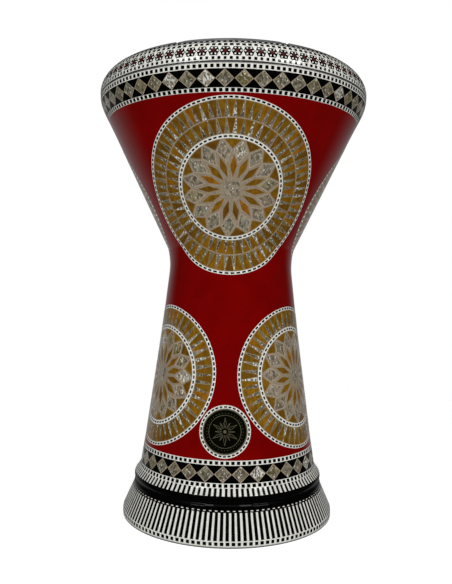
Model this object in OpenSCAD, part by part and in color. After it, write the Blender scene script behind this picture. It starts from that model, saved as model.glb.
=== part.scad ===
// Goblet drum (darbuka): cast aluminium shell with an inlaid skin, clamped drumhead and bolted
// tension ring. Origin at the centre of the foot's resting plane, +Z up, front towards -Y.

/* [Foot] */
// Radius of the foot's rim, the part that rests on the floor
foot_r = 105; // [103:0.5:108]
// Height of bare metal left at the very bottom of the foot
foot_edge_h = 1.3; // [1:0.1:2]
// Top of the foot's straight rim and of its bordered strip
foot_rim_z = 6.3; // [5:0.1:7]
// Top of the tall stave band on the foot
stave_top_z = 27.6; // [26:0.1:28]
// Radius at the top of the tall stave band
stave_top_r = 95.4; // [94.6:0.1:96.5]
// Radius of the sharp ridge below the bead
ridge_r = 94.2; // [93.5:0.1:94.5]
// Radius of the groove between the ridge and the bead
groove_r = 92.4; // [91.5:0.1:93]
// Height of the bead's widest point
bead_z = 38.6; // [38:0.1:39.2]
// Radius at the bead's widest point
bead_r = 94.1; // [93.8:0.1:96]
// Radius of the bead's own round
bead_round = 6; // [5.6:0.1:6.4]

/* [Body] */
// Height where the bead's flare meets the body
collar_z = 52; // [51.5:0.1:53]
// Radius where the bead's flare meets the body
collar_r = 87.6; // [86.5:0.1:88.5]
// How far the lower body dips inside a straight cone
body_dip = 1.07; // [0.5:0.05:2]
// Height of the waist
waist_z = 248; // [244:1:252]
// Smallest outside radius, at the waist
waist_r = 62; // [60:0.5:64]
// Radius of the arc through the waist
waist_arc = 69; // [62:1:76]
// Half-angle of the bowl's cone
cone_deg = 26.7; // [26.3:0.1:27]
// Largest outside radius, where the shell meets the ring
head_r = 133.9; // [133:0.1:135]
// Height of the largest radius
equator_z = 415.5; // [415:0.1:416]
// Wall of the casting, measured level
wall = 4.5; // [3.5:0.5:5.5]
// Depth of the inlaid skin with the glue under it, measured level
inlay_t = 1.2; // [1:0.1:1.5]
// Thickness of the glue line between the inlay and the casting
glue_t = 0.02; // [0.01:0.01:0.05]

/* [Bands on the body] */
// Top of the thin dashed line above the foot's staves
dash_top_z = 30.2; // [29.5:0.1:30.5]
// Bottom of the short stave band on the bead's upper slope
short_stave_z = 41.4; // [41.2:0.1:42]
// Top of the short stave band
short_stave_top_z = 47.2; // [46.5:0.1:48]
// Bottom of the lower diamond band
low_diamond_z = 51.2; // [50.5:0.1:52]
// Top of the lower diamond band
low_diamond_top_z = 66.4; // [66:0.1:67]
// Bottom of the red field
field_z = 70.8; // [70:0.1:71.5]
// Top of the red field
field_top_z = 390; // [389:0.1:391]
// Bottom of the upper diamond band
up_diamond_z = 393.3; // [393:0.1:394]
// Top of the upper diamond band
up_diamond_top_z = 407.3; // [407:0.1:408]
// Top of the shoulder's bordered strip
shoulder_top_z = 411.6; // [411:0.1:412]

/* [Medallions] */
// Facings of the three upper medallions, in degrees from the front
up_turns = [0, 117.5, 239]; // [0:0.5:240]
// Height of the upper medallions' centres
up_z = 314.7; // [313:0.1:316]
// Radii where the rings of an upper medallion meet, from the star out to the rim
up_radii = [45.8, 49.4, 63.5, 79, 82]; // [45:0.1:82.5]
// Facings of the three lower medallions, in degrees from the front
low_turns = [58.8, 179, 299.8]; // [58:0.1:300]
// Height of the lower medallions' centres
low_z = 141.3; // [140:0.1:143]
// Radii where the rings of a lower medallion meet, from the star out to the rim
low_radii = [44.3, 48, 64.6, 67.6]; // [44:0.1:68]
// Facing of the badge, in degrees from the front
badge_turn = -1; // [-3:0.5:3]
// Height of the badge's centre
badge_z = 96; // [95:0.5:97]
// Radius of the badge's metal disc
badge_r = 20.5; // [19:0.1:21]
// Outer radius of the badge's bordered strip
badge_rim_r = 23.7; // [23:0.1:24]
// How far the badge's disc stands in front of its bed
badge_t = 1.8; // [1.5:0.1:2]

/* [Head] */
// Height of the whole drum, to the crest of the ring
total_h = 439.5; // [438:0.5:442]
// Radius at which the ring's outer curve is centred
ring_curve_r = 105; // [103:0.5:106]
// Top of the shell's flange
flange_z = 412.4; // [412.2:0.1:412.6]
// Thickness of the flange
flange_t = 11.4; // [10:0.1:12]
// Outside radius of the bearing edge that the film is drawn over
edge_r = 108.6; // [108.2:0.1:108.8]
// Height of the bearing edge
edge_z = 437; // [436.5:0.1:437.5]
// Wall of the bearing edge
edge_wall = 4; // [3:0.5:5]
// Rounding of the bearing edge
edge_round = 3; // [2:0.5:3]
// Thickness of the head's film
film_t = 0.25; // [0.2:0.05:0.3]
// Width of the head's hoop
hoop_w = 3; // [2.5:0.1:3.1]
// Height of the head's hoop
hoop_h = 6; // [5:0.5:7]
// Top of the hoop, where the ring's lip presses on it
hoop_top_z = 427; // [426:0.1:427]

/* [Ring and bolts] */
// Underside of the ring, leaving a narrow seam above the flange
ring_z = 413.4; // [413.2:0.1:413.8]
// Gap between the film and the ring's lip
lip_gap = 1; // [0.8:0.1:1.2]
// Top of the ring's lower bordered strip
ring_low_strip_z = 417.5; // [417:0.1:418]
// Top of the ring's rosette band
rosette_top_z = 426.2; // [426:0.1:427]
// Top of the ring's upper bordered strip
ring_up_strip_z = 430.3; // [430:0.1:431]
// Top of the ring's black edge band
ring_edge_z = 433; // [432:0.1:433.2]
// Number of tension bolts
bolts = 8; // [8:8]
// Radius of the bolt circle
bolt_circle_r = 118; // [117.8:0.1:118.2]
// Radius of a bolt's shank
bolt_r = 3; // [2.5:0.5:3]
// Length of a bolt's shank
bolt_len = 30; // [28:30]
// Radius of a bolt's head
bolt_head_r = 5; // [4.8:0.1:5]
// Height of a bolt's head
bolt_head_h = 6; // [5:0.5:6]
// Seat of a bolt's head, the floor of its counterbore
bolt_seat_z = 427.5; // [427:0.1:428]
// Clearance round a bolt's shank
bolt_gap = 0.06; // [0.02:0.01:0.09]

/* [Hidden] */
$fn = 180;

pearl = "#b9b3a4";
amber = "#b07a12";
strip_white = "#dedcd2";
lacquer_black = "#151515";
lacquer_red = "#7c0508";
metal = "#a9adb0";

// ---- Outline of the outside, as radius against height ----

ridge_h = 2.2;
groove_z = bead_z - 4.3;
bead_deg = 47;
bead_top_z = bead_z + bead_round * sin(bead_deg);
bead_top_r = bead_r - bead_round * (1 - cos(bead_deg));
flare_power = 1.7;
waist_low_deg = 6.3;
waist_low_z = waist_z - waist_arc * sin(waist_low_deg);
waist_low_r = waist_r + waist_arc * (1 - cos(waist_low_deg));
cone_z = waist_z + waist_arc * sin(cone_deg);
cone_r = waist_r + waist_arc * (1 - cos(cone_deg));
shoulder_arc = (cone_r + (equator_z - cone_z) * tan(cone_deg) - head_r) / (1 / cos(cone_deg) - 1);
shoulder_z = equator_z - shoulder_arc * sin(cone_deg);
shoulder_mid_r = head_r - shoulder_arc;
crest_deg = 75;
ring_curve_h = (total_h - equator_z) / sin(crest_deg);

function bead_curve_r(z) = bead_r - bead_round + sqrt(pow(bead_round, 2) - pow(z - bead_z, 2));

function flare_r(z) =
    let (t = (z - bead_top_z) / (collar_z - bead_top_z))
    collar_r + (bead_top_r - collar_r) * pow(1 - t, flare_power);

function body_r(z) =
    let (t = (z - collar_z) / (waist_low_z - collar_z))
    collar_r + (waist_low_r - collar_r) * t - 4 * body_dip * t * (1 - t);

function waist_curve_r(z) = waist_r + waist_arc - sqrt(pow(waist_arc, 2) - pow(z - waist_z, 2));

function shoulder_r(z) = shoulder_mid_r + sqrt(pow(shoulder_arc, 2) - pow(z - equator_z, 2));

function ring_curve(deg) = [
    equator_z + ring_curve_h * sin(deg),
    ring_curve_r + (head_r - ring_curve_r) * cos(deg)
];

// Each point is [height, radius], from the floor to the ring's crest.
outline = concat(
    [[0, foot_r], [foot_rim_z, foot_r], [stave_top_z, stave_top_r]],
    [[dash_top_z, ridge_r], [dash_top_z + ridge_h, ridge_r], [groove_z, groove_r]],
    [for (deg = [-40 : 12 : 32]) let (z = bead_z + bead_round * sin(deg)) [z, bead_curve_r(z)]],
    [for (i = [0 : 4]) let (z = bead_top_z + (collar_z - bead_top_z) * i / 5) [z, flare_r(z)]],
    [for (i = [0 : 5]) let (z = collar_z + (waist_low_z - collar_z) * i / 6) [z, body_r(z)]],
    [for (i = [0 : 7]) let (z = waist_low_z + (cone_z - waist_low_z) * i / 8) [z, waist_curve_r(z)]],
    [[cone_z, cone_r]],
    [for (i = [0 : 6]) let (z = shoulder_z + (equator_z - shoulder_z) * i / 7) [z, shoulder_r(z)]],
    [for (deg = [0 : 5 : crest_deg]) ring_curve(deg)]
);

function skin_r(z) = lookup(z, outline);

// Heights from low to high, with every bend of the outline between them
function heights(low, high) =
    concat([low], [for (p = outline) if (p[0] > low + 0.05 && p[0] < high - 0.05) p[0]], [high]);

function reversed(points) = [for (i = [len(points) - 1 : -1 : 0]) points[i]];

// The outline's wall between two heights, from inset to inset + depth inside the outside
function wall_points(low, high, inset, depth) =
    let (zs = heights(low, high))
    concat(
        [for (z = zs) [skin_r(z) - inset, z]],
        reversed([for (z = zs) [skin_r(z) - inset - depth, z]])
    );

module band(low, high) {
    rotate_extrude() polygon(wall_points(low, high, 0, inlay_t - glue_t));
}

// ---- Circles laid on the curved skin ----

// Length along the outline up to its point i
function run(i) = i == 0 ? 0 : run(i - 1) + norm(outline[i] - outline[i - 1]);
runs = [for (i = [0 : len(outline) - 1]) run(i)];
run_at_z = [for (i = [0 : len(outline) - 1]) [outline[i][0], runs[i]]];
z_at_run = [for (i = [0 : len(outline) - 1]) [runs[i], outline[i][0]]];

disc_sides = 60;

// The unrolled cone carries a true circle, and rolling it up again gives the point on the skin.
function laid_point(centre_z, cone_sin, u, v) =
    let (
        unrolled = skin_r(centre_z) / cone_sin,
        along = sign(cone_sin) * norm([u, unrolled + v]) - unrolled,
        turn = atan(u / (unrolled + v)) / cone_sin,
        z = lookup(lookup(centre_z, run_at_z) + along, z_at_run)
    )
    [skin_r(z) * sin(turn), z];

// A prism that cuts the laid circle out of the skin, pointing forwards
module laid_disc(centre_z, cone_sin, radius) {
    points = [
        for (i = [0 : disc_sides - 1])
            let (deg = 360 * i / disc_sides)
            laid_point(centre_z, cone_sin, radius * sin(deg), radius * cos(deg))
    ];
    rotate([90, 0, 0]) linear_extrude(height = foot_r + head_r) polygon(points);
}

up_sin = sin(cone_deg);
low_slope = (waist_low_r - collar_r) / (waist_low_z - collar_z);
low_sin = low_slope / norm([1, low_slope]);

// One ring of the medallions in a row, or their centre discs when inner is 0
module laid_rings(turns, centre_z, cone_sin, inner, outer) {
    intersection() {
        band(field_z, field_top_z);
        for (turn = turns) rotate([0, 0, turn]) difference() {
            laid_disc(centre_z, cone_sin, outer);
            if (inner > 0) laid_disc(centre_z, cone_sin, inner);
        }
    }
}

module up_ring(i) {
    laid_rings(up_turns, up_z, up_sin, i == 0 ? 0 : up_radii[i - 1], up_radii[i]);
}

module low_ring(i) {
    laid_rings(low_turns, low_z, low_sin, i == 0 ? 0 : low_radii[i - 1], low_radii[i]);
}

module badge_hole(radius) {
    translate([0, 0, badge_z]) rotate([90, 0, badge_turn]) cylinder(h = foot_r + head_r, r = radius);
}

// ---- Casting ----

bowl_top_z = flange_z - flange_t;
boss_r = 7.5;
boss_z = 394;
thread_z = 396;

function edge_arc(radius) = [
    for (deg = [0 : 15 : 90])
        [edge_r - edge_round + radius * cos(deg), edge_z - edge_round + radius * sin(deg)]
];

module goblet() {
    zs = heights(foot_edge_h, shoulder_top_z);
    inner_zs = heights(0, bowl_top_z);
    rotate_extrude() polygon(concat(
        [[foot_r, 0], [foot_r, foot_edge_h]],
        [for (z = zs) [skin_r(z) - inlay_t, z]],
        [[skin_r(shoulder_top_z), shoulder_top_z], [skin_r(flange_z), flange_z]],
        [[edge_r, flange_z]],
        edge_arc(edge_round),
        [[edge_r - edge_wall, edge_z - edge_round], [edge_r - edge_wall, bowl_top_z]],
        reversed([for (z = inner_zs) [skin_r(z) - inlay_t - wall, z]])
    ));
}

module boss(i) {
    rotate([0, 0, 360 * (i - 0.5) / bolts]) translate([0, -bolt_circle_r, 0]) children();
}

module shell() {
    color(metal) difference() {
        union() {
            goblet();
            intersection() {
                for (i = [1 : bolts]) boss(i) translate([0, 0, boss_z])
                    cylinder(h = bowl_top_z - boss_z + 1, r = boss_r);
                rotate_extrude() polygon([
                    [0, boss_z], [skin_r(boss_z) - inlay_t - 1, boss_z],
                    [skin_r(bowl_top_z) - inlay_t - 1, bowl_top_z + 1], [0, bowl_top_z + 1]
                ]);
            }
        }
        for (i = [1 : bolts]) boss(i) translate([0, 0, thread_z])
            cylinder(h = flange_z - thread_z + 1, r = bolt_r + bolt_gap);
    }
}

// ---- Inlaid skin ----

module foot_border_strip() { color(strip_white) band(foot_edge_h, foot_rim_z); }
module foot_stave_band() { color(strip_white) band(foot_rim_z, stave_top_z); }
module foot_dash_line() { color(lacquer_black) band(stave_top_z, dash_top_z); }
module neck_band() { color(lacquer_black) band(dash_top_z, short_stave_z); }
module bead_stave_band() { color(strip_white) band(short_stave_z, short_stave_top_z); }
module collar_border_strip() { color(strip_white) band(short_stave_top_z, low_diamond_z); }
module lower_diamond_band() { color(pearl) band(low_diamond_z, low_diamond_top_z); }
module field_lower_border_strip() { color(strip_white) band(low_diamond_top_z, field_z); }
module field_upper_border_strip() { color(strip_white) band(field_top_z, up_diamond_z); }
module upper_diamond_band() { color(pearl) band(up_diamond_z, up_diamond_top_z); }
module shoulder_border_strip() { color(strip_white) band(up_diamond_top_z, shoulder_top_z); }

module red_field() {
    color(lacquer_red) difference() {
        band(field_z, field_top_z);
        for (turn = up_turns) rotate([0, 0, turn]) laid_disc(up_z, up_sin, up_radii[4]);
        for (turn = low_turns) rotate([0, 0, turn]) laid_disc(low_z, low_sin, low_radii[3]);
        badge_hole(badge_rim_r);
    }
}

module upper_medallion_stars() { color(pearl) up_ring(0); }
module upper_medallion_star_rims() { color(strip_white) up_ring(1); }
module upper_medallion_inner_wedges() { color(amber) up_ring(2); }
module upper_medallion_outer_wedges() { color(amber) up_ring(3); }
module upper_medallion_rims() { color(strip_white) up_ring(4); }
module lower_medallion_stars() { color(pearl) low_ring(0); }
module lower_medallion_star_rims() { color(strip_white) low_ring(1); }
module lower_medallion_wedges() { color(amber) low_ring(2); }

// The badge's strip cuts into the two rims beside it.
module lower_medallion_rims() {
    color(strip_white) difference() {
        low_ring(3);
        badge_hole(badge_rim_r + glue_t);
    }
}

module badge_border_strip() {
    color(strip_white) intersection() {
        band(field_z, field_top_z);
        difference() {
            badge_hole(badge_rim_r);
            badge_hole(badge_r);
        }
    }
}

module badge_disc() {
    color("#25281c") intersection() {
        rotate_extrude() polygon(wall_points(field_z, low_z, inlay_t - badge_t, badge_t - glue_t));
        badge_hole(badge_r);
    }
}

// ---- Drumhead ----

film_r = edge_r + film_t;
hoop_z = hoop_top_z - hoop_h;

module head_film() {
    color("#f1f1ee", 0.9) rotate_extrude() polygon(concat(
        [[0, edge_z]],
        reversed(edge_arc(edge_round)),
        [[edge_r, hoop_z], [film_r, hoop_z]],
        edge_arc(edge_round + film_t),
        [[0, edge_z + film_t]]
    ));
}

module head_hoop() {
    color(metal) rotate_extrude()
        translate([film_r, hoop_z]) square([hoop_w, hoop_h]);
}

// ---- Tension ring ----

lip_r = film_r + lip_gap;
recess_r = film_r + hoop_w + 0.4;
crest = ring_curve(crest_deg);
lip_round_deg = 25;

// Ring without its inlaid skin; the lip inside the crest rounds down towards the film.
module ring_profile() {
    outside = heights(ring_z, crest[0]);
    nose_r = crest[1] - lip_r;
    nose_h = 3;
    difference() {
        polygon(concat(
            [for (z = outside) [skin_r(z), z]],
            [for (deg = [15 : lip_round_deg : 90])
                [crest[1] - nose_r * sin(deg), crest[0] - nose_h * (1 - cos(deg))]],
            [[lip_r, hoop_top_z], [recess_r, hoop_top_z], [recess_r, ring_z]]
        ));
        polygon(wall_points(ring_z + 0.4, ring_edge_z, -1, inlay_t + 1));
    }
}

module tension_ring() {
    color(metal) difference() {
        rotate_extrude() ring_profile();
        for (i = [1 : bolts]) boss(i) {
            translate([0, 0, ring_z - 1]) cylinder(h = total_h - ring_z, r = bolt_r + bolt_gap);
            translate([0, 0, bolt_seat_z]) cylinder(h = total_h - bolt_seat_z, r = bolt_head_r + 0.3);
        }
    }
}

module ring_lower_border_strip() { color(strip_white) band(ring_z + 0.4, ring_low_strip_z); }
module ring_rosette_band() { color("#5d2621") band(ring_low_strip_z, rosette_top_z); }
module ring_upper_border_strip() { color(strip_white) band(rosette_top_z, ring_up_strip_z); }
module ring_edge_band() { color(lacquer_black) band(ring_up_strip_z, ring_edge_z); }

// ---- Tension bolts ----

hex_flats = 5;
hex_depth = 3;

module bolt(i) {
    color("#8f9294") boss(i) difference() {
        union() {
            translate([0, 0, bolt_seat_z - bolt_len]) cylinder(h = bolt_len, r = bolt_r);
            translate([0, 0, bolt_seat_z]) cylinder(h = bolt_head_h, r = bolt_head_r);
        }
        translate([0, 0, bolt_seat_z + bolt_head_h - hex_depth])
            cylinder(h = hex_depth + 1, r = hex_flats / 2 / cos(30), $fn = 6);
    }
}

shell();
foot_border_strip();
foot_stave_band();
foot_dash_line();
neck_band();
bead_stave_band();
collar_border_strip();
lower_diamond_band();
field_lower_border_strip();
red_field();
field_upper_border_strip();
upper_diamond_band();
shoulder_border_strip();
upper_medallion_rims();
upper_medallion_outer_wedges();
upper_medallion_inner_wedges();
upper_medallion_star_rims();
upper_medallion_stars();
lower_medallion_rims();
lower_medallion_wedges();
lower_medallion_star_rims();
lower_medallion_stars();
badge_border_strip();
badge_disc();
head_film();
head_hoop();
tension_ring();
ring_lower_border_strip();
ring_rosette_band();
ring_upper_border_strip();
ring_edge_band();
bolt(1);  // bolt_1
bolt(2);  // bolt_2
bolt(3);  // bolt_3
bolt(4);  // bolt_4
bolt(5);  // bolt_5
bolt(6);  // bolt_6
bolt(7);  // bolt_7
bolt(8);  // bolt_8
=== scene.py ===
"""Looks of the goblet drum: inlaid tiles, lacquers, metals, drumhead, bolts, stage and camera."""

import math
import random

import bpy
import numpy as np
from mathutils import Euler, Matrix, Vector


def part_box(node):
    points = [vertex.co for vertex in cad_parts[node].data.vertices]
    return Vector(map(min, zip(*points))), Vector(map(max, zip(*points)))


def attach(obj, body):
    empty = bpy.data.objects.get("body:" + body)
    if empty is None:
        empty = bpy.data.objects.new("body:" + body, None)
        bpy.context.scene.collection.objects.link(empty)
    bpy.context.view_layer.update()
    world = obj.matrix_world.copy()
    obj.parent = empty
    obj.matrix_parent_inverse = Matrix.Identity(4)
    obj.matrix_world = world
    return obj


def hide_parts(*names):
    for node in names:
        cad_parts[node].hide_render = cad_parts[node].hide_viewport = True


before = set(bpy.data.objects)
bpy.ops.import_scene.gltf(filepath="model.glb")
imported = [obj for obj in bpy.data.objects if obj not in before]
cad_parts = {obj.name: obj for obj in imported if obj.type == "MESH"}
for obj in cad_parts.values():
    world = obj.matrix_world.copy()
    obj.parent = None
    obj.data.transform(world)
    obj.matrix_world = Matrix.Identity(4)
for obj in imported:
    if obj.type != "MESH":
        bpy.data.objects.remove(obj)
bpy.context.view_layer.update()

MM = 0.001
DEG = math.pi / 180

# How far the faces of the inlays stand from the skin, in metres.
DOT_LIFT = 0.06 * MM
BED_TOP = 0.05 * MM
TILE_TOP = 0.11 * MM

# How deep the beds, the tiles and the badge's lines sit below their faces.
INLAY_DEPTH = 1.0 * MM
TILE_DEPTH = 0.6 * MM
LINE_DEPTH = 0.3 * MM

# Bevels round the faces, the widest on the large tiles. A bevel takes at most WIDEST_BEVEL of a tile.
TILE_BEVEL = 0.12 * MM
DOT_BEVEL = 0.05 * MM
DASH_BEVEL = 0.04 * MM
FINE_BEVEL = 0.03 * MM
DISC_BEVEL = 0.02 * MM
WIDEST_BEVEL = 0.35

# Facets of tiles, and of bands up the skin, are at most STEP long. On a band, those of the tiles
# also stay within TOLERANCE of the curved skin.
STEP = 2.5 * MM
TOLERANCE = 0.01 * MM

# Where the outline bends, each facet of a band turns by about BEND_STEP and is longer than
# SHORTEST_STEP.
BEND_STEP = 3 * DEG
SHORTEST_STEP = 0.08 * MM

# Facets round the drum, round a medallion's rings and round a laid disc.
BELT_SEGMENTS = 288
RING_SEGMENTS = 180
DISC_SEGMENTS = 90


# -------------------- skin

SHELL_BANDS = [
    "foot_border_strip", "foot_stave_band", "foot_dash_line", "neck_band", "bead_stave_band",
    "collar_border_strip", "lower_diamond_band", "field_lower_border_strip", "red_field",
    "field_upper_border_strip", "upper_diamond_band", "shoulder_border_strip",
]
RING_BANDS = [
    "ring_lower_border_strip", "ring_rosette_band", "ring_upper_border_strip", "ring_edge_band",
]


def span(node):
    """Lowest and highest z of a CAD node, in metres."""
    low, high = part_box(node)
    return low.z, high.z


class Skin:
    """The drum's outside as radius against height, read from the CAD bands and smoothed."""

    SAMPLE = 0.1 * MM
    CORNER = 13 * DEG
    ROUNDING = 0.35 * MM
    # A station is a level, this tall, with vertices in at least ENOUGH sectors of the turn.
    LEVEL = 0.02 * MM
    SECTOR = 2 * DEG
    ENOUGH = 30

    def __init__(self, nodes):
        stations = self.stations(nodes)
        count = int((stations[-1, 0] - stations[0, 0]) / self.SAMPLE) + 1
        self.z = np.linspace(stations[0, 0], stations[-1, 0], count)
        self.r = self.rounded(self.spline(stations, self.z))
        steps = np.hypot(np.diff(self.z), np.diff(self.r))
        self.run = np.concatenate([[0], np.cumsum(steps)])
        slope = np.gradient(self.r, self.z)
        self.out = 1 / np.hypot(1, slope)
        self.up = -slope * self.out

    def stations(self, nodes):
        """The heights where the outline bends, each with its outside radius."""
        found = {}
        for node in nodes:
            co = np.array([v.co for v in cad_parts[node].data.vertices])
            radius = np.hypot(co[:, 0], co[:, 1])
            sector = np.round(np.arctan2(co[:, 1], co[:, 0]) / self.SECTOR)
            level = np.round(co[:, 2] / self.LEVEL).astype(int)
            for key in np.unique(level):
                at = level == key
                if len(np.unique(sector[at])) >= self.ENOUGH:
                    found[key] = max(found.get(key, 0), radius[at].max())
        return np.array([[key * self.LEVEL, found[key]] for key in sorted(found)])

    def spline(self, stations, z):
        """A smooth curve through the stations that keeps the outline's real corners."""
        h = np.diff(stations[:, 0])
        d = np.diff(stations[:, 1]) / h
        mean = (h[:-1] * d[:-1] + h[1:] * d[1:]) / (h[:-1] + h[1:])
        corner = np.abs(np.arctan(d[1:]) - np.arctan(d[:-1])) > self.CORNER
        start = np.concatenate([d[:1], np.where(corner, d[1:], mean)])
        end = np.concatenate([np.where(corner, d[:-1], mean), d[-1:]])
        i = np.clip(np.searchsorted(stations[:, 0], z, side="right") - 1, 0, len(h) - 1)
        t = (z - stations[i, 0]) / h[i]
        r0, r1 = stations[i, 1], stations[i + 1, 1]
        m0, m1 = start[i] * h[i], end[i] * h[i]
        ease = t * t * (3 - 2 * t)
        return r0 * (1 - ease) + r1 * ease + m0 * t * (1 - t) ** 2 - m1 * t * t * (1 - t)

    def rounded(self, r):
        """Softens corners by a small Gaussian, as polished lacquer does."""
        reach = int(4 * self.ROUNDING / self.SAMPLE)
        x = np.arange(-reach, reach + 1) * self.SAMPLE
        kernel = np.exp(-(x / self.ROUNDING) ** 2 / 2)
        padded = np.pad(r, reach, mode="edge")
        return np.convolve(padded, kernel / kernel.sum(), mode="valid")

    def radius(self, z):
        """The outside radius at height z."""
        return np.interp(z, self.z, self.r)

    def run_at(self, z):
        """The run, the distance up the skin from its lowest point, at height z."""
        return np.interp(z, self.z, self.run)

    def facet(self, low, high):
        """The longest facet that stays within TOLERANCE of the skin between two runs."""
        inside = (self.run >= low) & (self.run <= high)
        facing = np.unwrap(np.arctan2(self.up, self.out))[inside]
        bend = np.abs(np.gradient(facing, self.run[inside])).max()
        return min(STEP, math.sqrt(8 * TOLERANCE / max(bend, 1e-6)))

    def slope(self, z):
        """How fast the radius grows with height at height z."""
        return float(np.interp(z, self.z, np.gradient(self.r, self.z)))

    def place(self, turn, run, lift):
        """Points and outward normals at turn (radians from the front) and run (metres up the skin)."""
        z = np.interp(run, self.run, self.z)
        r = np.interp(run, self.run, self.r)
        out = np.interp(run, self.run, self.out)
        up = np.interp(run, self.run, self.up)
        across, facing = np.sin(turn), -np.cos(turn)
        reach = r + lift * out
        points = np.stack([reach * across, reach * facing, z + lift * up], -1)
        normals = np.stack([out * across, out * facing, up], -1)
        return points, normals


shell_skin = Skin(SHELL_BANDS)
ring_skin = Skin(RING_BANDS)


# -------------------- maps from flat patterns to the skin

class Belt:
    """A flat strip round the drum: x is metres along it at its middle, y is metres up the skin."""

    def __init__(self, skin, node, count, phase):
        self.skin = skin
        self.low, self.high = (skin.run_at(z) for z in span(node))
        self.middle = (self.low + self.high) / 2
        self.height = self.high - self.low
        self.count = count
        self.radius = float(np.interp(self.middle, skin.run, skin.r))
        self.pitch = 2 * math.pi * self.radius / count
        self.phase = phase
        self.step = skin.facet(self.low, self.high)

    def place(self, xy, lift):
        """Points and outward normals on the skin for flat points."""
        turn = xy[:, 0] / self.radius
        return self.skin.place(turn, self.middle + xy[:, 1], lift)

    def centres(self):
        """Where the pattern's pieces stand along the strip."""
        return [(i + self.phase) * self.pitch for i in range(self.count)]


class Medallion:
    """A flat disc laid on the skin as if its cone were unrolled: x to the right, y up."""

    def __init__(self, skin, z, turn):
        slope = skin.slope(z)
        self.skin = skin
        self.turn = turn
        self.sine = slope / math.hypot(1, slope)
        self.run = skin.run_at(z)
        self.unrolled = skin.radius(z) / self.sine
        self.step = STEP

    def place(self, xy, lift):
        """Points and outward normals on the skin for flat points."""
        v = self.unrolled + xy[:, 1]
        along = np.sign(self.sine) * np.hypot(xy[:, 0], v) - self.unrolled
        turn = np.arctan(xy[:, 0] / v) / self.sine + self.turn
        return self.skin.place(turn, self.run + along, lift)


# -------------------- mesh building

class Solids:
    """Collects closed solids that lie on the skin and makes one mesh piece of them."""

    def __init__(self):
        self.points = []
        self.faces = []
        self.loop_normals = []
        self.count = 0

    def add(self, points, faces, normals):
        """normals gives, for each face, one normal per corner, or None for a flat face."""
        points = np.asarray(points)
        for face, smooth in zip(faces, normals):
            self.faces.append([self.count + i for i in face])
            if smooth is None:
                a, b, c = points[face[0]], points[face[1]], points[face[2]]
                flat = np.cross(b - a, c - a)
                size = np.linalg.norm(flat)
                flat = flat / size if size > 0 else np.array([0.0, 0.0, 1.0])
                self.loop_normals.extend([flat] * len(face))
            else:
                self.loop_normals.extend(smooth)
        self.points.append(points)
        self.count += len(points)

    def piece(self, name, material, body, slot, *replaced):
        """Makes the piece, rides it on its body and hides the CAD nodes that it stands for."""
        mesh = bpy.data.meshes.new(name)
        mesh.from_pydata(np.concatenate(self.points).tolist(), [], self.faces)
        mesh.polygons.foreach_set("use_smooth", [True] * len(mesh.polygons))
        mesh.normals_split_custom_set([tuple(n) for n in self.loop_normals])
        mesh.materials.append(material)
        obj = bpy.data.objects.new(name, mesh)
        bpy.context.scene.collection.objects.link(obj)
        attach(obj, body)
        if replaced:
            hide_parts(*replaced)
        return obj


def split_edges(corners, step):
    """The outline with extra points, so that no stretch is longer than step."""
    outline = []
    for a, b in zip(corners, corners[1:] + corners[:1]):
        a, b = np.array(a), np.array(b)
        parts = max(1, math.ceil(np.linalg.norm(b - a) / step))
        outline.extend(a + (b - a) * i / parts for i in range(parts))
    return np.array(outline)


def tile(solids, placer, corners, lift, depth=TILE_DEPTH, bevel=TILE_BEVEL):
    """A closed convex tile with a bevelled rim. corners run anticlockwise in the flat pattern."""
    step = placer.step
    outline = split_edges([tuple(c) for c in corners], step)
    centre = outline.mean(0)
    reach = np.linalg.norm(outline - centre, axis=1)
    inner = min(WIDEST_BEVEL, bevel / max(reach.min(), bevel))
    rings = max(1, math.ceil(reach.max() / step))
    scales = [1 - (inner if k == 0 else inner + (1 - inner) * k / rings) for k in range(rings)]
    n = len(outline)
    rim, rim_normals = placer.place(outline, lift - bevel)
    points, normals = [rim], [rim_normals]
    for scale in scales:
        ring, ring_normals = placer.place(centre + (outline - centre) * scale, lift)
        points.append(ring)
        normals.append(ring_normals)
    top, top_normal = placer.place(centre[None, :], lift)
    base, _ = placer.place(outline, lift - depth)
    foot, _ = placer.place(centre[None, :], lift - depth)
    points.extend([top, base, foot])
    normals.append(top_normal)
    normals = np.concatenate(normals)
    all_points = np.concatenate(points)
    last = n * len(scales)
    top_i, base_i, foot_i = last + n, last + n + 1, last + 2 * n + 1
    faces, smooth = [], []
    for i in range(n):
        j = (i + 1) % n
        for k in range(len(scales)):
            face = [k * n + i, k * n + j, (k + 1) * n + j, (k + 1) * n + i]
            faces.append(face)
            smooth.append(normals[face])
        face = [last + i, last + j, top_i]
        faces.append(face)
        smooth.append(normals[face])
        faces.append([base_i + i, base_i + j, j, i])
        smooth.append(None)
        faces.append([base_i + j, base_i + i, foot_i])
        smooth.append(None)
    solids.add(all_points, faces, smooth)


def box_tile(solids, placer, x, y, width, height, lift=DOT_LIFT, depth=TILE_DEPTH, lean=0.0):
    """A small upright rectangle, for dots, dashes and staves. Its top leans right, its foot left."""
    w, h = width / 2, height / 2
    corners = [
        (x - w - lean, y - h), (x + w - lean, y - h), (x + w + lean, y + h), (x - w + lean, y + h),
    ]
    tile(solids, placer, corners, lift, depth, DOT_BEVEL)


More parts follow.
